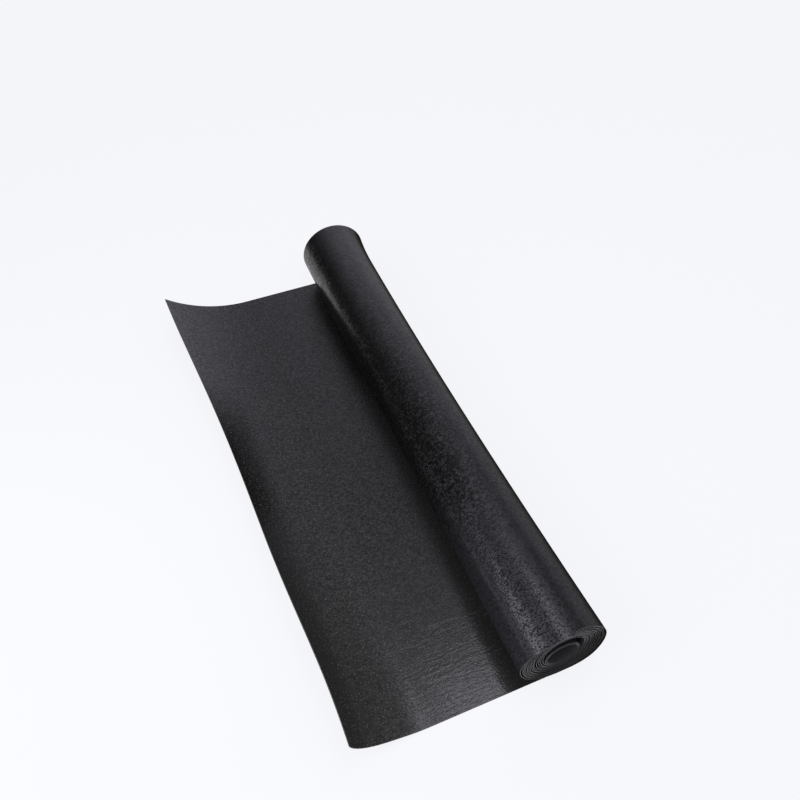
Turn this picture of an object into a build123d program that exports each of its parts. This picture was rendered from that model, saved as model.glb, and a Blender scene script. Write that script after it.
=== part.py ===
from build123d import *
import math
import os

# A roll of roofing felt, partly unrolled. Millimetres. +Y runs along the roll, +Z is up, and the
# laid-out end reaches towards -X. The end view is drawn about the foot of the roll, where its
# outermost turn leaves the floor, and the finished solid is then moved onto its origin.

# The felt
felt_width = 1000.0
felt_thickness = 1.2

# The roll
roll_diameter = 130.0
bore_diameter = 44.0
pressed_stretch = 6.0

# The laid-out end: flat on the floor, then a curl that is tighter at the near edge
flat_length = 210.0
near_curl_radius = 92.0
far_curl_radius = 257.0
curl_height = 60.0

# The bundles of turns: the inner one has slipped down inside the outer one
outer_bundle_inside_diameter = 67.0
inner_bundle_diameter = 56.0
inner_bundle_slip = 6.0
outer_group_turns = 2
inner_group_turns = 1

# The gaps between groups of turns, as they show on both ends
gap_width = 0.8
gap_depth = 6.0
crescent_depth = 40.0

roll_radius = roll_diameter / 2
bore_radius = bore_diameter / 2
inner_bundle_radius = inner_bundle_diameter / 2
hollow_radius = outer_bundle_inside_diameter / 2
hollow_center = roll_radius + inner_bundle_slip
turn_and_gap = felt_thickness + gap_width
half_width = felt_width / 2


def half_turn(start, end):
    """Half a turn between two heights on the line x = 0: up on the right or down on the left."""
    return ThreePointArc((0, start), ((end - start) / 2, (start + end) / 2), (0, end))


def roll_section():
    """The end view of the roll, with the flat stretch of felt that runs out from under it."""
    inner_center = roll_radius + felt_thickness / 2
    inner_radius = roll_radius - felt_thickness / 2
    pressed_height = inner_center - math.sqrt(inner_radius**2 - pressed_stretch**2)
    swept = 180 - math.degrees(math.asin(pressed_stretch / inner_radius))
    rising_side = half_turn(0, roll_diameter)
    falling_side = CenterArc((0, inner_center), inner_radius, 90, swept)
    felt_line = Polyline(
        (-pressed_stretch, pressed_height),
        (-pressed_stretch, felt_thickness),
        (-flat_length, felt_thickness),
        (-flat_length, 0),
        (0, 0),
    )
    section = make_face([rising_side, falling_side, felt_line])
    return section - Pos(0, roll_radius) * Circle(bore_radius)


def roll_with_flat_felt():
    return extrude(Plane.XZ * roll_section(), half_width, both=True)


def spiral_gap(heights):
    """The narrow space between two turns, given where its outer wall crosses the line x = 0."""
    inner_wall = []
    for height in heights:
        inward = gap_width if height < roll_radius else -gap_width
        inner_wall.append(height + inward)
    edges = [Line((0, heights[0]), (0, inner_wall[0])), Line((0, heights[-1]), (0, inner_wall[-1]))]
    for wall in (heights, inner_wall):
        edges += [half_turn(start, end) for start, end in zip(wall, wall[1:])]
    return make_face(edges)


def evenly_spaced(first, last, count):
    step = (last - first) / max(count - 1, 1)
    return [first + step * number for number in range(count)]


def gaps_through(thickness, group_turns):
    """How many gaps fit a bundle's thickness, with so many turns lying tight between two of them."""
    return 1 + max(0, math.floor(thickness / (group_turns * felt_thickness + gap_width)))


def outer_bundle_gap():
    """The gap from the foot of the roll, turn by turn in to the hollow of the outer bundle."""
    hollow_top = hollow_center + hollow_radius
    first_top = roll_diameter - 2 * felt_thickness
    last_top = hollow_top + turn_and_gap
    last_foot = hollow_center - hollow_radius - turn_and_gap
    count = gaps_through(first_top - last_top, outer_group_turns)
    feet = evenly_spaced(felt_thickness, last_foot, count + 1)
    tops = evenly_spaced(first_top, last_top, count) + [hollow_top - gap_width]
    gap = spiral_gap([height for turn in zip(feet, tops) for height in turn])
    mouth_place = Pos(-pressed_stretch / 2, felt_thickness + gap_width / 2)
    return gap + mouth_place * Rectangle(pressed_stretch + 2 * gap_width, gap_width)


def inner_bundle_gap():
    """The gap from the crescent, turn by turn in to the bore, where the felt's inner end shows."""
    bundle_top = roll_radius + inner_bundle_radius
    last_top = roll_radius + bore_radius + turn_and_gap
    last_foot = roll_radius - bore_radius - turn_and_gap
    first_foot = roll_radius - inner_bundle_radius + felt_thickness
    first_top = (bundle_top - felt_thickness + last_top) / 2
    count = gaps_through(last_foot - first_foot, inner_group_turns)
    feet = evenly_spaced(first_foot, last_foot, count)
    tops = evenly_spaced(first_top, last_top, count)
    turns = [height for turn in zip(feet, tops) for height in turn]
    felt_end_height = turn_and_gap + gap_width
    felt_end_place = Pos(0, last_top - felt_end_height / 2)
    felt_end = felt_end_place * Rectangle(gap_width, felt_end_height)
    return spiral_gap([bundle_top + turn_and_gap] + turns) + felt_end


def crescent():
    """The space left above the inner bundle, where it has slipped down."""
    hollow = Pos(0, hollow_center) * Circle(hollow_radius)
    return hollow - Pos(0, roll_radius) * Circle(inner_bundle_radius)


def near_end_relief():
    near_face = Plane.XZ.offset(half_width)
    gaps = extrude(near_face * (outer_bundle_gap() + inner_bundle_gap()), -gap_depth)
    return gaps + extrude(near_face * crescent(), -crescent_depth)


def curled_end():
    """The free end of the felt, rolled up off the floor on a cone that lies on its side."""
    slope = (far_curl_radius - near_curl_radius) / felt_width
    tilt = math.atan(slope)
    apex_to_near_edge = near_curl_radius / slope
    start = -half_width - apex_to_near_edge / 4
    end = half_width + felt_width / 10
    middle = Pos((start + end) / 2, felt_thickness / 2)
    strip = Plane.YZ.offset(-flat_length) * middle * Rectangle(end - start, felt_thickness)
    apex = (-flat_length, -half_width - apex_to_near_edge, 0)
    curl = revolve(strip, Axis(apex, (0, math.cos(tilt), math.sin(tilt))), 90)
    reach = far_curl_radius + near_curl_radius
    kept = Pos(-flat_length - reach / 2, 0, curl_height / 2) * Box(reach, felt_width, curl_height)
    return curl & kept


def make_felt_roll():
    relief = near_end_relief()
    roll = roll_with_flat_felt() - relief - mirror(relief, Plane.XZ)
    felt_roll = roll + curled_end()
    box = felt_roll.bounding_box()
    felt_roll = Pos(-box.center().X, 0, -box.min.Z) * felt_roll
    print("axis of the roll at x", -box.center().X, "z", roll_radius)
    return felt_roll


os.makedirs("parts", exist_ok=True)
export_step(make_felt_roll(), "parts/felt_roll.step")
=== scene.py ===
# %% [markdown]
# # A roll of roofing felt, part of it unrolled
# Roofing felt is a long strip of paper or fleece, soaked and coated with bitumen. It is sold wound
# into a roll. Here the first stretch lies flat on the floor, its free end curls up, and the rest is
# still wound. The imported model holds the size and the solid. This script gives it its looks.
# Lengths are in metres, and +Y runs along the roll, from its near end to its far end.

import math

import bmesh
import bpy
from mathutils import Matrix, Vector


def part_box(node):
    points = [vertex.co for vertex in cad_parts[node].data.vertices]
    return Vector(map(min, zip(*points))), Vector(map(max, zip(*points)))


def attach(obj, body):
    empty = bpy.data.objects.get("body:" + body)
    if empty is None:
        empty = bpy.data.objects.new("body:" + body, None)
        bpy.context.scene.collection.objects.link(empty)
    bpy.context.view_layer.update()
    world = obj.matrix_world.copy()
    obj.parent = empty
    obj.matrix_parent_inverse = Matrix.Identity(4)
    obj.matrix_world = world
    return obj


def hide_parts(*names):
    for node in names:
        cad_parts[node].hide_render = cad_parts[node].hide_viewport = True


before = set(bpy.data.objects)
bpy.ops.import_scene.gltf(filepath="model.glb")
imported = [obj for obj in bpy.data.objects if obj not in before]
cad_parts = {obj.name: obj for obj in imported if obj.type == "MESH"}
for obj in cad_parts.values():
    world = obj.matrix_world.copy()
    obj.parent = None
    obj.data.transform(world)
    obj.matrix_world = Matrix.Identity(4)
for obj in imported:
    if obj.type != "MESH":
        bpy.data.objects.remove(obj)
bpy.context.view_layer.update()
low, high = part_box("felt_roll")
print("felt roll from", [round(v, 4) for v in low], "to", [round(v, 4) for v in high])

# %% [markdown]
# ## The camera
# The eye stands in front of the near end, left of the roll and well above it, and looks down along
# it. A camera can be aimed at a target or turned by angles. Angles are used here, because the
# heading, the downward tilt and a slight lean are what fix the way the roll narrows in the picture.

# %% Place the camera
MM = 0.001
roll_radius = (high.z - low.z) / 2
roll_x = high.x - roll_radius
near_y = low.y
far_y = high.y

eye_left_of_roll = 0.306
eye_before_near_end = 0.298
eye_height = 0.972
heading = math.radians(19.03)
downward = math.radians(46.52)
lean = math.radians(-3.37)
focal_length_mm = 31.34


def add_to_scene(name, data):
    """A new object at the origin that shows a mesh, a lamp or a camera."""
    made = bpy.data.objects.new(name, data)
    bpy.context.scene.collection.objects.link(made)
    return made


camera_data = bpy.data.cameras.new("camera")
camera_data.lens = focal_length_mm
camera = add_to_scene("camera", camera_data)
eye = Vector((roll_x - eye_left_of_roll, near_y - eye_before_near_end, eye_height))
turned = Matrix.Rotation(-heading, 4, "Z") @ Matrix.Rotation(math.pi / 2 - downward, 4, "X")
camera.matrix_world = Matrix.Translation(eye) @ turned @ Matrix.Rotation(lean, 4, "Z")
bpy.context.scene.camera = camera
print("the eye is at", [round(v, 3) for v in eye])

# %% [markdown]
# ## Arithmetic on nodes
# The room, the floor and the felt all get their colour from nodes. Nodes that are wired one by one
# are long to read. Plain arithmetic is short, so a small class wraps one output of a node. Adding
# to it, subtracting from it or multiplying it then adds the Math node that does so.

# %% Let the outputs of nodes be added and multiplied


class Value:
    """One output of a node, such as a number that differs from place to place."""

    def __init__(self, shading, socket):
        self.shading = shading
        self.socket = socket

    def math(self, operation, first, second):
        return self.shading.node("ShaderNodeMath", {"operation": operation}, {0: first, 1: second})

    def __add__(self, other):
        return self.math("ADD", self, other)

    __radd__ = __add__

    def __sub__(self, other):
        return self.math("SUBTRACT", self, other)

    def __rsub__(self, other):
        return self.math("SUBTRACT", other, self)

    def __mul__(self, other):
        return self.math("MULTIPLY", self, other)

    __rmul__ = __mul__


# %% [markdown]
# ## The room and the finishes as trees of nodes
# Every other kind of node comes from one method. It takes the node's settings and what goes into
# its sockets, which is a number, a colour or another node's output. A finish is such a tree with a
# dull ground, as every surface here has one, and with whatever is laid over that ground.

# %% Hold a tree of nodes


class Shading:
    """The nodes of the room or of a finish, and one way to add any node."""

    def __init__(self, owner):
        owner.use_nodes = True
        self.nodes = owner.node_tree.nodes
        self.links = owner.node_tree.links

    def connect(self, given, socket):
        if isinstance(given, Value):
            self.links.new(given.socket, socket)
        else:
            socket.default_value = given

    def node(self, kind, settings=None, sockets=None, output=0):
        made = self.nodes.new(kind)
        for name, setting in (settings or {}).items():
            setattr(made, name, setting)
        for name, given in (sockets or {}).items():
            self.connect(given, made.inputs[name])
        return Value(self, made.outputs[output])


class Finish(Shading):
    """A material with a dull ground."""

    def __init__(self, name):
        self.material = bpy.data.materials.new(name)
        super().__init__(self.material)
        self.ground = self.nodes["Principled BSDF"]

    def dull_ground(self, **given):
        for name, value in given.items():
            self.connect(value, self.ground.inputs[name.replace("_", " ")])

    def cover(self, shader, share):
        """Lays a shader over the ground, whole where the share is 1 and worn through where 0."""
        ground = Value(self, self.ground.outputs[0])
        both = self.node("ShaderNodeMixShader", None, {0: share, 1: ground, 2: shader})
        self.connect(both, self.nodes["Material Output"].inputs["Surface"])


# %% [markdown]
# ## The room
# Black felt shows by what it mirrors more than by its own colour, so the room matters. The room is
# pale all round, with an unlit corner behind the left of the roll and a darker wall on the right.
# An image of a studio could do this too. A plain rule keeps the script complete: each dark part is
# a direction and two angles, and between the two angles it fades.

# %% Colour the room
room_colour = (0.865, 0.853, 1.0, 1)
pale_room = 0.74
dark_parts = {
    "unlit corner": {"heading": -42, "climb": 8, "full": 14, "none": 54, "change": -0.70},
    "right wall": {"heading": 70, "climb": 38, "full": 8, "none": 20, "change": -0.50},
}


def direction(heading_degrees, climb_degrees):
    """The direction at an angle to the right of +Y and an angle up from the floor."""
    right, up = math.radians(heading_degrees), math.radians(climb_degrees)
    return (math.sin(right) * math.cos(up), math.cos(right) * math.cos(up), math.sin(up))


world = bpy.data.worlds.new("room")
bpy.context.scene.world = world
room = Shading(world)
view = room.node("ShaderNodeTexCoord", output="Generated")
brightness = pale_room
for name, part in dark_parts.items():
    middle = direction(part["heading"], part["climb"])
    dot_product = {"operation": "DOT_PRODUCT"}
    likeness = room.node("ShaderNodeVectorMath", dot_product, {0: view, 1: middle}, "Value")
    fade = {
        "Value": likeness,
        "From Min": math.cos(math.radians(part["none"])),
        "From Max": math.cos(math.radians(part["full"])),
        "To Max": part["change"],
    }
    brightness = room.node("ShaderNodeMapRange", None, fade) + brightness
    print(name, "in direction", [round(v, 2) for v in middle], "changes by", part["change"])
background = room.nodes["Background"]
background.inputs["Color"].default_value = room_colour
room.connect(brightness, background.inputs["Strength"])

# %% [markdown]
# ## The lamps
# Two soft lamps stand close by: a narrow one overhead, and one on the left, which only the near
# half of the roll mirrors. A sun lamp has no size, so the felt would mirror it as a dot. An area
# lamp shows in the felt as a pale band, as a window or a ceiling lamp does.

# %% Hang the lamps
lamp_colour = (0.90, 0.893, 1.0)


def add_lamp(name, place, target, width, height, radiance):
    """A soft lamp that faces a target; radiance 1 looks as bright as white."""
    data = bpy.data.lights.new(name, "AREA")
    data.shape = "RECTANGLE"
    data.size = width
    data.size_y = height
    data.energy = radiance * math.pi * width * height
    data.color = lamp_colour
    lamp = add_to_scene(name, data)
    lamp.location = place
    lamp.rotation_euler = (Vector(target) - Vector(place)).to_track_quat("-Z", "Y").to_euler()
    print(name, "gives", round(data.energy, 2), "W")


above_right = (roll_x + 0.21, -0.28, 1.6)
left_of_roll = (roll_x - 1.2, -0.35, 0.85)
add_lamp("overhead lamp", above_right, (roll_x, -0.3, 0), width=0.75, height=0.42, radiance=3.1)
add_lamp("left lamp", left_of_roll, (roll_x, -0.4, 0), width=0.85, height=0.85, radiance=3.3)

# %% [markdown]
# ## The floor
# The floor is a plain pale sheet. Lit by the lamps alone, it would grow dark towards its edges. So,
# to the eye and in reflections, it also glows a little. Part of what it shows is still real light,
# and that part keeps the felt's shadow.

# %% Lay the floor
pale = (0.85, 0.86, 0.90, 1)
pale_glow = (0.976, 0.982, 0.999, 1)
floor_half = 6.0
glow_share = 0.86

floor_finish = Finish("pale floor")
floor_finish.dull_ground(Base_Color=pale, Roughness=0.9, Specular_IOR_Level=0.0)
seen = 0.0
for kind_of_ray in ("Is Camera Ray", "Is Glossy Ray", "Is Transmission Ray"):
    ray = floor_finish.node("ShaderNodeLightPath", output=kind_of_ray)
    seen = ray.math("MAXIMUM", ray, seen)
glow = floor_finish.node("ShaderNodeEmission", None, {"Color": pale_glow})
floor_finish.cover(glow, seen * glow_share)

floor_mesh = bpy.data.meshes.new("floor")
floor_bm = bmesh.new()
bmesh.ops.create_grid(floor_bm, x_segments=1, y_segments=1, size=floor_half)
floor_bm.to_mesh(floor_mesh)
floor_bm.free()
floor_mesh.materials.append(floor_finish.material)
floor = add_to_scene("floor", floor_mesh)
print("the floor is", 2 * floor_half, "m wide")

# %% [markdown]
# ## How the turns lie
# Seen from the end, the felt is a spiral. Each turn is one thickness of felt inside the turn
# before, plus a little air. The air isn't even: the outermost turn stands off at the left, about
# ten turns lie in one bundle and three looser ones within it, and the innermost turns have slipped
# down and leave a crescent above them. A spiral could come from the screw modifier with a constant
# pitch. Here a table gives the distance to the next turn, in millimetres, at the foot, the right,
# the top and the left of each stretch. So the air is uneven, and yet no two turns can cut into
# each other.

# %% Say how far each turn lies inside the one before
felt_thickness = 1.2 * MM
least_air = 0.05 * MM
clinging_air = 0.45
full_turn = 2 * math.pi
turn_distances = [
    (0.0, (1.7, 3.0, 1.5, 4.2)),
    (1.0, (2.4, 2.6, 1.4, 3.4)),
    (1.6, (2.5, 2.7, 1.4, 2.0)),
    (9.3, (2.5, 2.7, 1.4, 2.0)),
    (9.8, (2.6, 2.6, 2.6, 3.0)),
    (10.4, (2.6, 2.5, 1.5, 3.2)),
    (12.6, (2.6, 2.5, 1.5, 3.2)),
    (13.2, (2.2, 3.4, 13.0, 3.4)),
    (13.7, (2.2, 3.2, 13.0, 3.4)),
    (14.1, (2.4, 1.4, 1.8, 2.3)),
    (99.0, (2.4, 1.4, 1.8, 2.3)),
]


def eased(value):
    """0 up to 0, 1 from 1, and smooth in between."""
    value = min(1.0, max(0.0, value))
    return value * value * (3 - 2 * value)


def round_the_roll(angle, foot, right, top, left):
    """A smooth value through four places round the roll."""
    mean = (foot + right + top + left) / 4
    across = (right - left) / 2 * math.sin(angle)
    upright = (foot - top) / 2 * math.cos(angle)
    return mean + across + upright + (foot + top - right - left) / 4 * math.cos(2 * angle)


def clinging(turn):
    """Near -1 where turns cling together and near 1 where groups of them part."""
    groups = math.cos(full_turn * turn / 3.3)
    odd_turns = math.cos(full_turn * turn / 1.37 + 1)
    return 0.7 * groups + 0.3 * odd_turns


def turn_to_turn(angle):
    """The distance to the next turn inward, at an angle wound on from the foot of the roll."""
    turn = angle / full_turn
    number = max(n for n, (start, _) in enumerate(turn_distances) if start <= turn)
    (start, before), (end, after) = turn_distances[number:number + 2]
    share = eased((turn - start) / (end - start))
    around = [first + (last - first) * share for first, last in zip(before, after)]
    air = round_the_roll(angle, *around) * MM - felt_thickness
    return felt_thickness + least_air + max(0.0, air) * (1 + clinging_air * clinging(turn))


print("from the outermost turn to the next, at the foot:", round(turn_to_turn(0) / MM, 2), "mm")

# %% [markdown]
# ## The radius of the winding
# The radius at any place is that of the first turn, less the distances of all the turns outside
# it. It could be added up in small steps, but then it would drift. Added up turn by turn at one
# angle, each turn lies exactly where the table puts it.

# %% Add up the radius
all_turns = 16.6
steps_per_turn = 96
rounding = 1e-9


def first_turn_radius(angle):
    return roll_radius - turn_to_turn(0) * eased(angle / full_turn)


def radius(angle):
    """The outer radius of the felt at an angle wound on from the foot."""
    turns_before = int(angle / full_turn + rounding)
    rest = max(0.0, angle - full_turn * turns_before)
    inward = sum(turn_to_turn(rest + full_turn * turn) for turn in range(turns_before))
    return first_turn_radius(rest) - inward


winding_steps = round(all_turns * steps_per_turn)
winding_radii = [radius(full_turn * step / steps_per_turn) for step in range(winding_steps + 1)]
print("the innermost turn ends at radius", round(winding_radii[-1] / MM, 2), "mm")

# %% [markdown]
# ## The real section
# A soft roll isn't round. Its near end has sagged wider and lower than its far end, and its middle
# is a little slimmer. Lattice modifiers could press a round roll so. Here every place on the roll
# is moved by a width, a height and a shift to the right, which change from the near end to the far
# end, so each can be set by itself.

# %% Say how the section changes along the roll
near_width, middle_width, far_width = 132 * MM, 126 * MM, 134 * MM
near_height, middle_height, far_height = 124 * MM, 127 * MM, 134 * MM
near_shift, middle_shift, far_shift = 4.5 * MM, -1 * MM, 1 * MM
flare_start = 0.9
flare_width, flare_shift = 6 * MM, 3 * MM


def along(share, near, middle, far):
    """A smooth value through three places; share is 0 at the near end of the roll, 1 at the far."""
    near_part = near * (1 - share) * (1 - 2 * share)
    middle_part = middle * 4 * share * (1 - share)
    far_part = far * share * (2 * share - 1)
    return near_part + middle_part + far_part


def flare(share):
    """How much the far end flares: 0 along most of the roll and 1 at its very end."""
    return max(0.0, (share - flare_start) / (1 - flare_start)) ** 2


def shift(share):
    return along(share, near_shift, middle_shift, far_shift) + flare_shift * flare(share)


def half_width(share):
    return (along(share, near_width, middle_width, far_width) + flare_width * flare(share)) / 2


def half_height(share):
    return along(share, near_height, middle_height, far_height) / 2


print("half width in the middle:", round(half_width(0.5) / MM, 1), "mm")

# %% [markdown]
# ## The slid turns
# The ends of the roll aren't flat either: the turns have slid along each other. At the top of the
# near end the outermost turn sticks out by 5 mm, up to a nick in its edge. Each slide is a length
# that changes with the turn. It fades along the roll, so only the ends of the turns move.

# %% Say how far the turns have slid
nick_turn, nick_step, nick_fade, nick_slide = 0.475, 0.012, 0.3, 5.2 * MM
bulge_turn, bulge_spread, bulge_slide = 0.12, 0.09, 2.2 * MM
foot_slide = 1.6 * MM
near_waver, far_waver = 0.5 * MM, 0.7 * MM
far_rise_turns, far_fade_start, far_fade_turns, far_turns_slide = 0.3, 2, 3, 3.5 * MM


def near_slide(turn):
    """How far the near edge of the felt sticks out of the roll."""
    bulge = bulge_slide * math.exp(-(((turn - bulge_turn) / bulge_spread) ** 2))
    past_nick = turn - nick_turn
    torn_top = nick_slide * eased(past_nick / nick_step) * (1 - eased(past_nick / nick_fade))
    at_foot = max(0.0, math.cos(full_turn * turn)) * (1 - turn / all_turns) * eased(turn)
    waver = min(1, turn) * near_waver * math.sin(2.9 * turn + 1)
    return bulge + torn_top + foot_slide * at_foot + waver


def far_slide(turn):
    """How far the far edge of the felt sticks out of the roll."""
    fading = eased((turn - far_fade_start) / far_fade_turns)
    outer_turns = eased(turn / far_rise_turns) * (1 - fading)
    return far_turns_slide * outer_turns + min(1, turn) * far_waver * math.sin(1.7 * turn)


def place_on_roll(step, share):
    """Where a point of the wound felt's outer face lies."""
    turn = step / steps_per_turn
    angle = full_turn * turn
    reach = winding_radii[step] / roll_radius
    x = roll_x + shift(share) + half_width(share) * reach * math.sin(angle)
    slide = far_slide(turn) * share**4 - near_slide(turn) * (1 - share) ** 4
    z = low.z + half_height(share) * (1 - reach * math.cos(angle))
    return Vector((x, near_y + (far_y - near_y) * share + slide, z))


print("past the nick the near edge sticks out", round(near_slide(0.49) / MM, 1), "mm")

# %% [markdown]
# ## The laid-out stretch
# From the foot, the felt runs flat over the floor and then curls up, because it remembers the
# roll. The near edge curls tighter than the far one. A curl could be an arc, but the near corner
# first lifts a little and then curls more and more. So the slope is given along the felt, and
# small steps in the direction of that slope add up to the shape.

# %% Say how the free end curls
flat_length = 210 * MM
near_lift_start = 178 * MM
near_curl_radius = 92 * MM
far_curl_radius = 257 * MM
near_laid_length = 318.5 * MM
far_laid_length = 391 * MM
edge_bow = 12.5 * MM
edge_bow_lean = 1.15
far_edge_back = 4.8 * MM
lift_length = 50 * MM
lift_slope = math.radians(14)
tight_curl_start = 52 * MM
tight_curl_length = 88 * MM
tight_curl_slope = math.radians(66)
near_corner_share = 0.35


def near_corner(share):
    """How much a line of the felt lies as its near corner does."""
    return 1 - eased(share / near_corner_share)


def laid_length(share):
    """The felt from the foot to the free edge, which is a little hollow."""
    straight = near_laid_length + (far_laid_length - near_laid_length) * share
    return straight - edge_bow * math.sin(math.pi * share**edge_bow_lean) ** 2


def slope(beyond, share):
    """How steeply the felt rises, at a length beyond the flat stretch."""
    even = beyond / (near_curl_radius + (far_curl_radius - near_curl_radius) * share)
    tight = max(0.0, (beyond - tight_curl_start) / tight_curl_length) ** 2
    uneven = lift_slope * eased(beyond / lift_length) + tight_curl_slope * tight
    return even + (uneven - even) * near_corner(share)


print("the near corner ends at a slope of", round(math.degrees(slope(0.14, 0))), "degrees")

# %% [markdown]
# ## Lines from the foot to the free edge
# The laid-out felt is made of lines that run from the foot to the free edge. Each point of a line
# keeps its run, the length of felt from the foot, because the pattern is mapped by it later.

# %% Step along the laid-out felt
laid_steps = 80
laid_flat_steps = 36


def laid_line(share):
    """One line of the laid-out felt, from the foot to the free edge: its places and its run."""
    start_x = roll_x + shift(share)
    y = near_y + (far_y - near_y) * share - far_edge_back * share**4
    flat = flat_length + (near_lift_start - flat_length) * near_corner(share)
    flat_stride = (flat + shift(share)) / laid_flat_steps
    places = []
    for step in range(laid_flat_steps + 1):
        run = flat_stride * step
        places.append((Vector((start_x - run, y, low.z)), run))
    curl_steps = laid_steps - laid_flat_steps
    stride = (laid_length(share) - flat) / curl_steps
    for step in range(curl_steps):
        rise = slope(stride * (step + 0.5), share)
        place, run = places[-1]
        onward = Vector((-stride * math.cos(rise), 0, stride * math.sin(rise)))
        places.append((place + onward, run + stride))
    return places


for name, share in (("near", 0), ("far", 1)):
    tip, run = laid_line(share)[-1]
    tip_height = round((tip.z - low.z) / MM, 1)
    print(name, "edge:", round(run / MM), "mm laid out, tip", tip_height, "mm up")

# %% [markdown]
# ## A flat strip
# The real felt is made flat and then wound, and the mesh is made the same way. Two grids are the
# flat strip. One is the laid-out end with the outermost turn, and has many rows across. The other
# is the turns inside. It has few rows, because only its ends show.

# %% Make the flat strip
fine_rows = 100
coarse_rows = 8
fine_turn_steps = 120

felt_bm = bmesh.new()
map_layer = felt_bm.loops.layers.uv.new("felt")
run_layer = felt_bm.verts.layers.float.new("run")


def flat_strip(first_step, last_step, rows):
    """A flat grid, with its vertices by step and row; steps below 0 are laid out."""
    steps = last_step - first_step
    made = bmesh.ops.create_grid(felt_bm, x_segments=steps, y_segments=rows, size=0.5)
    strip = {}
    for vert in made["verts"]:
        step = first_step + round((vert.co.x + 0.5) * steps)
        strip[step, round((vert.co.y + 0.5) * rows)] = vert
    return strip


outside = flat_strip(-laid_steps, fine_turn_steps, fine_rows)
inside = flat_strip(fine_turn_steps + 1, winding_steps, coarse_rows)
print("flat strips with", len(outside), "and", len(inside), "vertices")

# %% [markdown]
# ## From the flat strip to the roll
# Each vertex goes to its place in the roll or on the floor. A curve with a bevel could give a
# spiral too, but its ends could not slide or curl by themselves. Then the two grids are bridged
# into one strip.

# %% Wind the strip
winding_runs = [0.0]
for step in range(winding_steps):
    stride = (place_on_roll(step + 1, 0.5) - place_on_roll(step, 0.5)).length
    winding_runs.append(winding_runs[-1] + stride)


def wind(strip, rows):
    """Moves every vertex of a strip to its place in the roll or on the floor."""
    laid_lines = [laid_line(row / rows) for row in range(rows + 1)]
    for (step, row), vert in strip.items():
        if step < 0:
            vert.co, run = laid_lines[row][-step]
            vert[run_layer] = -run
        else:
            vert.co = place_on_roll(step, row / rows)
            vert[run_layer] = winding_runs[step]


def edges_across(strip, step, rows):
    verts = [strip[step, row] for row in range(rows + 1)]
    return [felt_bm.edges.get(pair) for pair in zip(verts, verts[1:])]


wind(outside, fine_rows)
wind(inside, coarse_rows)
seam = edges_across(outside, fine_turn_steps, fine_rows)
seam += edges_across(inside, fine_turn_steps + 1, coarse_rows)
bmesh.ops.bridge_loops(felt_bm, edges=seam)
wound_length = winding_runs[-1]
mean_laid_length = laid_line(0.5)[-1][1]
print("wound", round(wound_length, 2), "m, laid out", round(mean_laid_length, 3), "m")

# %% [markdown]
# ## The pattern's map
# Grain and streaks were pressed into the felt while it was flat. A map unwrapped from the roll
# would cut them at seams. This map has the run along the felt in one direction and the place
# across it in the other, both in metres, so the pattern follows every turn.

# %% Map the surface
bmesh.ops.recalc_face_normals(felt_bm, faces=felt_bm.faces)
lowest = min(felt_bm.faces, key=lambda face: face.calc_center_median().z)
if lowest.normal.z > 0:
    bmesh.ops.reverse_faces(felt_bm, faces=felt_bm.faces)
for face in felt_bm.faces:
    face.smooth = True
    for loop in face.loops:
        loop[map_layer].uv = (loop.vert[run_layer], loop.vert.co.y)
print("mapped", len(felt_bm.faces), "faces, the lowest one facing the floor")

# %% [markdown]
# ## The thickness
# The strip is still a surface. It could be offset by hand, but Solidify does the same and marks
# the back and the rim, so the outer face, the cut edges and the inner face can each get a finish
# of their own. It thickens towards the inside of the roll.

# %% Thicken the strip
outer_face = Finish("outer face of the felt")
cut_edge = Finish("cut edge of the felt")
inner_face = Finish("inner face of the felt")

strip_mesh = bpy.data.meshes.new("strip")
felt_bm.to_mesh(strip_mesh)
felt_bm.free()
for finish in (outer_face, cut_edge, inner_face):
    strip_mesh.materials.append(finish.material)
thin_strip = add_to_scene("strip", strip_mesh)
thicken = thin_strip.modifiers.new("thickness", "SOLIDIFY")
thicken.thickness = felt_thickness
thicken.offset = -1
thicken.use_even_offset = True
thicken.material_offset_rim = 1
thicken.material_offset = 2
bpy.context.view_layer.update()
thickened = thin_strip.evaluated_get(bpy.context.evaluated_depsgraph_get())
felt_mesh = bpy.data.meshes.new_from_object(thickened)
felt_mesh.name = "felt"
bpy.data.objects.remove(thin_strip)
print("thickened to", round(felt_thickness / MM, 1), "mm")

# %% [markdown]
# ## Crisp edges
# Smooth shading would round the felt off at its cut edges. A knife leaves them crisp, so wherever
# two finishes meet, the edge between them is made sharp.

# %% Sharpen the cut edges
felt_bm = bmesh.new()
felt_bm.from_mesh(felt_mesh)
for line in felt_bm.edges:
    finishes = {face.material_index for face in line.link_faces}
    line.smooth = len(finishes) == 1
felt_bm.to_mesh(felt_mesh)
felt_bm.free()
felt = add_to_scene("felt", felt_mesh)
print("felt", len(felt_mesh.vertices), "vertices,", len(felt_mesh.polygons), "faces")

# %% [markdown]
# ## Patterns
# Crumbs, clumps, streaks and specks all come from the same few nodes. Photographs of felt could be
# used instead, but these follow the map at any size and never repeat. Each helper takes a place on
# the felt, or a value made from it, and gives a new value.

# %% Name the patterns


def part_of(place, axis):
    return place.shading.node("ShaderNodeSeparateXYZ", None, {0: place}, axis)


def stretched(place, lengthwise, crosswise):
    """The map, scaled along and across the felt."""
    sockets = {"Vector": place, "Scale": (lengthwise, crosswise, 1)}
    return place.shading.node("ShaderNodeMapping", None, sockets)


def noise(place, scale, detail, roughness):
    """Soft blots."""
    sockets = {"Vector": place, "Scale": scale, "Detail": detail, "Roughness": roughness}
    return place.shading.node("ShaderNodeTexNoise", None, sockets, "Fac")


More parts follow.
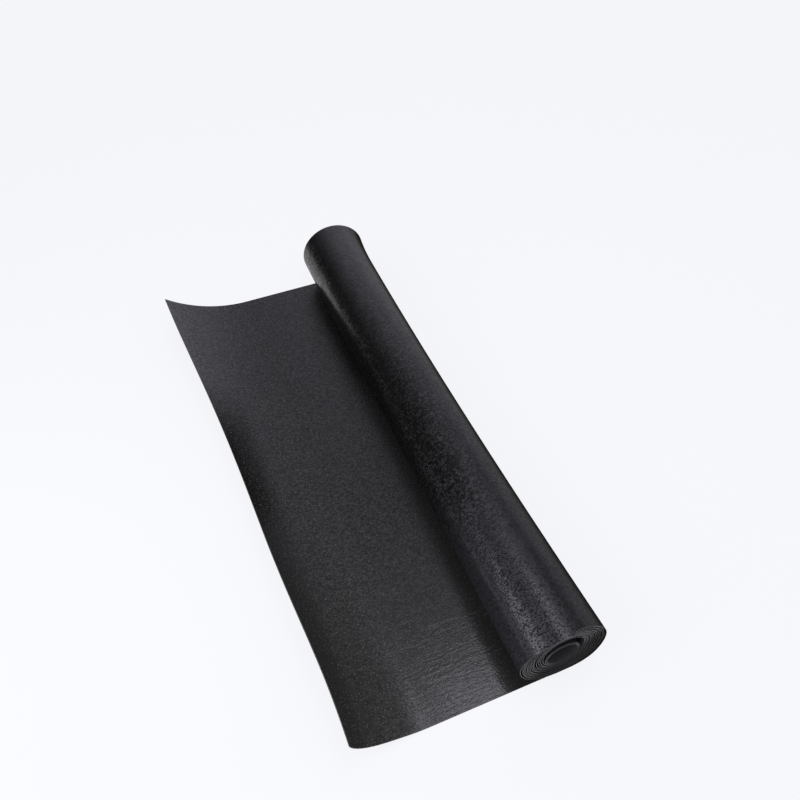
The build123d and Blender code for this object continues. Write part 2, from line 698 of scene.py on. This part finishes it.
def cells(place, scale):
    """A chance number from 0 to 1 for each of many small cells, like grains of sand."""
    flat = {"voronoi_dimensions": "2D"}
    sockets = {"Vector": place, "Scale": scale}
    colour = place.shading.node("ShaderNodeTexVoronoi", flat, sockets, "Color")
    return place.shading.node("ShaderNodeSeparateColor", None, {0: colour})


def between(value, start, end):
    """0 up to start, 1 from end, and smooth in between."""
    smooth = {"interpolation_type": "SMOOTHSTEP"}
    sockets = {"Value": value, "From Min": start, "From Max": end}
    return value.shading.node("ShaderNodeMapRange", smooth, sockets)


def blend(share, first, second):
    """One colour over another, by a share from 0 to 1."""
    sockets = {0: share, 6: first, 7: second}
    return share.shading.node("ShaderNodeMix", {"data_type": "RGBA"}, sockets, 2)


def relief(height):
    """A bump from a height in millimetres."""
    return height.shading.node("ShaderNodeBump", None, {"Height": height, "Distance": MM})


# %% [markdown]
# ## Where on the outer face
# The outside of the roll isn't the same all over. Going round from the foot, the run is about
# 0.1 m at the right side, 0.2 m at the top and 0.3 m at the left. Towards the far end and on the
# right the coat is smoother, and the near half is paler, with dust and painted light. Painted masks
# could say where. Here each place is a range of the run and of the width, so it keeps its size.

# %% Find the places on the outer face
outer_map = outer_face.node("ShaderNodeUVMap", {"uv_map": "felt"})
run, across_felt = part_of(outer_map, "X"), part_of(outer_map, "Y")
far_half = between(across_felt, -0.15, 0.45)
near_half = 1 - between(across_felt, -0.35, 0.0)
near_end = 1 - between(across_felt, -0.45, -0.20)
top_and_left = between(run, 0.165, 0.235)
left_side = between(run, 0.230, 0.262)
smooth_flank = between(run, 0.252, 0.268) * between(across_felt, 0.10, 0.30)
# painted shade: the right edge, and the right side of the near half, lose their gloss
painted_shade_right_edge = 1 - between(run, 0.135, 0.175)
painted_shade_right_side = (1 - between(run, 0.12, 0.19)) * near_half
inner_turns = between(run, 2.9, 3.2)
# dust and painted light: paler towards the near end, as if more light fell there
dust_and_painted_light = (1 - between(across_felt, -0.47, -0.02)) * between(run, 0.16, 0.24) + inner_turns
print("the places on the outer face take", len(outer_face.nodes), "nodes")

# %% [markdown]
# ## The grain of the outer face
# The coat is pebbled like coarse leather: dull black pits lie between shiny crumbs. Noise alone
# would give curly blots. Here each small cell has a chance number, like a crumb, smaller near the
# near end, and noise gathers the crumbs into clumps.

# %% Grow the crumbs
crumbs_per_metre = 380.0
small_crumbs_per_metre = 620.0

crumb_map = stretched(outer_map, 0.8, 1.0)
wide_crumbs = cells(crumb_map, crumbs_per_metre)
small_crumbs = cells(crumb_map, small_crumbs_per_metre)
wide_clumps, small_clumps = noise(crumb_map, 130.0, 2, 0.7), noise(crumb_map, 300.0, 2, 0.7)
crumbs = wide_crumbs + (small_crumbs - wide_crumbs) * near_end
clumps = wide_clumps + (small_clumps - wide_clumps) * near_end
pebbles = noise(stretched(outer_map, 0.7, 1.0), 400.0, 2, 0.6)
patches = noise(stretched(outer_map, 40, 20), 1.0, 3, 0.6)
dents = noise(stretched(outer_map, 13, 7), 1.0, 2, 0.5)
specks = between(noise(outer_map, 420.0, 1, 0.5), 0.66, 0.74)
print("crumbs of about", round(1 / crumbs_per_metre / MM, 1), "mm")
print("and at the near end", round(1 / small_crumbs_per_metre / MM, 1), "mm")

# %% [markdown]
# ## A coat of bitumen
# Bitumen is semi-gloss where it is whole and dull where it has worn through. A single shader could
# vary its roughness only, and a rough pit would still mirror the room. So a glossy shader is mixed
# over a dull one, and the gloss says how much of it is left.

# %% Lay a coat of bitumen
bitumen_ior = 1.62
worn_roughness = 0.9


def coat_with_bitumen(finish, colour, roughness, bumps, gloss):
    """A glossy coat over a dull ground, whole where the gloss is 1 and worn through where 0."""
    finish.dull_ground(Base_Color=colour, Roughness=worn_roughness, Normal=bumps)
    finish.dull_ground(Specular_IOR_Level=0.0)
    sockets = {"Base Color": colour, "Roughness": roughness, "Normal": bumps, "IOR": bitumen_ior}
    finish.cover(finish.node("ShaderNodeBsdfPrincipled", None, sockets), gloss)


# %% [markdown]
# ## The outer face
# The coat is nearly black, and grey where dust and painted light lie on the crumbs. It is worn
# through in the pits and on the left side. On the right side, and most of all at its edge, the
# gloss is taken away as painted shade, so that it mirrors little of the pale floor. Each of these
# is a share from 0 to 1, so they multiply.

# %% Make the outer face
felt_black = (0.0050, 0.0046, 0.0036, 1)
# the paler felt colour, for dust and painted light
felt_grey = (0.0245, 0.0243, 0.0262, 1)
pale_speck = (0.30, 0.28, 0.21, 1)

coarse = (0.3 + top_and_left * 0.7) * (1 - far_half * (1 - left_side) * 0.6)
coarse = coarse * (1 - smooth_flank * 0.5) * (1 - near_end * left_side * 0.5)
pitted = between(crumbs * 0.5 + clumps + patches * 0.4, 1.04, 1.10)
black_pits = pitted * coarse * (1 - near_end * 0.7)
dusty_and_lit = (dust_and_painted_light * 0.8 + 0.1) * (0.3 + crumbs * 1.4) * (1 - black_pits)
outer_colour = blend(specks * 0.12, blend(dusty_and_lit, felt_black, felt_grey), pale_speck)
outer_bumps = relief(pebbles * coarse * (0.65 - near_end * 0.35) + dents * 1.6)
shine = between(crumbs * 1.5 + clumps * 1.2 - 0.8, 0.0, 1.0)
worn_left = left_side * (1 - near_end) * (1 - smooth_flank)
# the gloss that is kept after wear on the left and the painted shade on the right
gloss_kept = (1 - worn_left * 0.4) * (1 - painted_shade_right_edge * 0.97) * (1 - painted_shade_right_side * 0.3)
outer_gloss = (1 - (1 - shine) * (0.18 + coarse * 0.74)) * (1 - black_pits * 0.9) * gloss_kept
coat_with_bitumen(outer_face, outer_colour, 0.25, outer_bumps, outer_gloss)
print("the outer face has", len(outer_face.nodes), "nodes")

# %% [markdown]
# ## Where on the inner face
# The inside of the felt shows on the laid-out stretch, where the run is below 0, and in the bore,
# where it is above 3 m. Where it lies by the roll, near its near edge, it is polished. It is paler
# towards the near end, with dust and painted light, and less so by the roll. Halfway along the free
# edge it is darker. The rest of the free end and the foot are a little paler: painted light that
# lifts the curl and the crease by the roll.

# %% Find the places on the inner face
inner_map = inner_face.node("ShaderNodeUVMap", {"uv_map": "felt"})
run, across_felt = part_of(inner_map, "X"), part_of(inner_map, "Y")
towards_near_edge = 1 - between(across_felt, -0.44, -0.12)
by_the_roll = between(run, -0.27, -0.15)
polished = towards_near_edge * by_the_roll
# dust and painted light: paler towards the near end, as if more light fell there
dust_and_painted_light = 1 - between(across_felt, -0.48, 0.10)
# darker halfway along the free edge
darker_mid_free_edge = between(across_felt, -0.20, -0.05) * (1 - between(across_felt, 0.05, 0.25))
darker_mid_free_edge = darker_mid_free_edge * (1 - between(run, -0.31, -0.27))
free_end = (1 - between(run, -0.33, -0.24)) * (1 - darker_mid_free_edge)
foot = between(run, -0.10, -0.065) * (1 - between(across_felt, 0.05, 0.25))
turns_inside = between(run, 2.9, 3.2) * (1 - between(across_felt, -0.50, -0.42))
print("the places on the inner face take", len(inner_face.nodes), "nodes")

# %% [markdown]
# ## The grain of the inner face
# It has a fine sandy grain with pale specks, made like the crumbs of the outer face but with
# smaller cells. Near its near edge the coat was dragged while it was soft. The streaks there are
# noise that is drawn out along the felt, and their crests get painted glints.

# %% Grow the sand
sand_grains_per_metre = 480.0

sand_map = stretched(inner_map, 0.85, 1.0)
grain = noise(sand_map, 400.0, 2, 0.6)
sand = cells(sand_map, sand_grains_per_metre)
clumps = noise(sand_map, 170.0, 2, 0.6)
clouds = noise(stretched(inner_map, 12, 18), 1.0, 4, 0.6)
streaks = noise(stretched(inner_map, 26, 190), 1.0, 3, 0.65)
# painted glints: the crests of the streaks are coloured pale, as light would glint on them
painted_glints = between(streaks, 0.60, 0.68) * polished
specks = between(noise(inner_map, 420.0, 1, 0.5), 0.63, 0.72) * (1 - by_the_roll * 0.5)
print("sand of about", round(1 / sand_grains_per_metre / MM, 1), "mm")

# %% [markdown]
# ## The inner face
# Its coat is thinner than the outer one, so more of the dull ground shows between the grains. Only
# where it is polished is the coat nearly whole, and there it is smoother too.

# %% Make the inner face
# the paler felt colour, for dust and painted light
felt_dusty_and_lit = (0.0250, 0.0248, 0.0198, 1)
pale_grey = (0.073, 0.073, 0.075, 1)

dusty_and_lit = dust_and_painted_light * (1.05 - by_the_roll * 0.6) * (1 - darker_mid_free_edge * 0.5) + clouds * 0.2
sandy = blend(dusty_and_lit * (0.7 + sand * 0.6), felt_black, felt_dusty_and_lit)
# painted light: the pale grey lifts the free end and the foot; on the streaks' crests it is painted
# glints
greyed = painted_glints * 0.45 + turns_inside * 0.6 + free_end * 0.24 + foot * 0.14
inner_colour = blend(greyed, blend(specks * 0.45, sandy, pale_speck), pale_grey)
grain_height = grain * (1 - towards_near_edge * 0.6) * 0.5
inner_bumps = relief(grain_height + clouds * 0.4 + streaks * polished * 0.25)
glints = sand * 0.8 + clumps * 1.4 + streaks * polished * 1.2
shine = between(glints - 0.7 - polished * 0.6, 0.0, 1.0)
thinness = (0.50 + dust_and_painted_light * 0.3) * (1 - towards_near_edge * 0.15 - polished * 0.5)
gloss_kept = (1 - darker_mid_free_edge * 0.4) * (1 - dust_and_painted_light * 0.12) * (1 - polished * 0.14)
inner_gloss = (1 - (1 - shine) * thinness) * gloss_kept
coat_with_bitumen(inner_face, inner_colour, 0.27 - polished * 0.14, inner_bumps, inner_gloss)
print("the inner face has", len(inner_face.nodes), "nodes")

# %% [markdown]
# ## The cut edge
# At the cut edges the paper inside shows, grey-brown and dull, between two black coats. On the
# lower right of the roll's end the cut edge is darkened with painted shade, as if something beside
# the roll kept the light off it. The edge has no width in the map, so its fibres and the painted
# shade are placed in the object's own space.

# %% Make the cut edge
paper_dark = (0.056, 0.054, 0.047, 1)
paper_pale = (0.190, 0.184, 0.162, 1)

place = cut_edge.node("ShaderNodeTexCoord", output="Object")
fibres = noise(place, 700.0, 3, 0.6)
to_the_right = part_of(place, "X") - (roll_x + near_shift)
above = part_of(place, "Z") - roll_radius
# painted shade: the cut edge grows darker towards the lower right of the roll's end
painted_shade_on_cut = between(to_the_right * 0.6 - above, -0.005, 0.030)
paper = blend(between(fibres, 0.3, 0.7), paper_dark, paper_pale)
edge_colour = blend(painted_shade_on_cut * 0.9, paper, felt_black)
edge_bumps = relief(fibres * 0.12)
cut_edge.dull_ground(Base_Color=edge_colour, Roughness=0.75, Normal=edge_bumps)
cut_edge.dull_ground(Specular_IOR_Level=0.2)
print("the cut edge has", len(cut_edge.nodes), "nodes")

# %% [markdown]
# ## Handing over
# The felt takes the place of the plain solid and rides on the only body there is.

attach(felt, "root")
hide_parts("felt_roll")
wound_length + mean_laid_length

bpy.context.scene.view_settings.view_transform = "Standard"
